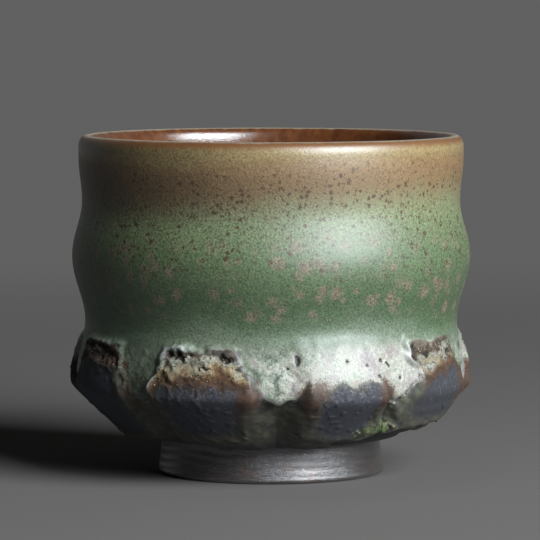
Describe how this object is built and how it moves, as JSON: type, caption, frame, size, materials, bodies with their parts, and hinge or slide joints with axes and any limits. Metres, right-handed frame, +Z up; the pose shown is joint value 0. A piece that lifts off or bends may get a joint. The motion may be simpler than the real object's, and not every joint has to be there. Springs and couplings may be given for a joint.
{
  "type": "tea cup",
  "caption": "Handmade stoneware tea cup: waisted round wall on a turned foot ring, faceted clay belt, thick green glaze running down between the facets, rust glaze inside.",
  "frame": {"origin": "centre of the foot ring's resting face, on the table plane", "axes": "+Z up through the mouth, -Y towards the front of the pictured side, +X to its right"},
  "size_m": [0.0798, 0.0794, 0.0672],
  "materials": {
    "bare_clay": "fired dark brown stoneware, matt to satin",
    "foot_clay": "turned and burnished dark brown stoneware with a thin ash sheen",
    "green_glaze": "satin sage green glaze with tan spots, ochre and tan towards the lip",
    "rust_glaze": "glossy rust brown liner glaze",
    "iron_glaze": "crusted cream and brown above, smooth blue black with pale crystals below",
    "pale_glaze": "thick pale celadon runs, satin"
  },
  "bodies": {
    "root": {"thrown_wall": "bare_clay", "foot_ring": "foot_clay", "outer_glaze_coat": "green_glaze", "inner_glaze_liner": "rust_glaze", "belt_facet_1": "iron_glaze", "belt_facet_2": "iron_glaze", "belt_facet_3": "iron_glaze", "belt_facet_4": "iron_glaze", "belt_facet_5": "iron_glaze", "belt_facet_6": "iron_glaze", "belt_facet_7": "iron_glaze", "belt_facet_8": "iron_glaze", "belt_facet_9": "iron_glaze", "glaze_tongue_1": "pale_glaze", "glaze_tongue_2": "pale_glaze", "glaze_tongue_3": "pale_glaze", "glaze_tongue_4": "pale_glaze", "glaze_tongue_5": "pale_glaze", "glaze_tongue_6": "pale_glaze", "glaze_tongue_7": "pale_glaze", "glaze_tongue_8": "pale_glaze", "glaze_tongue_9": "pale_glaze"}
  },
  "joints": []
}
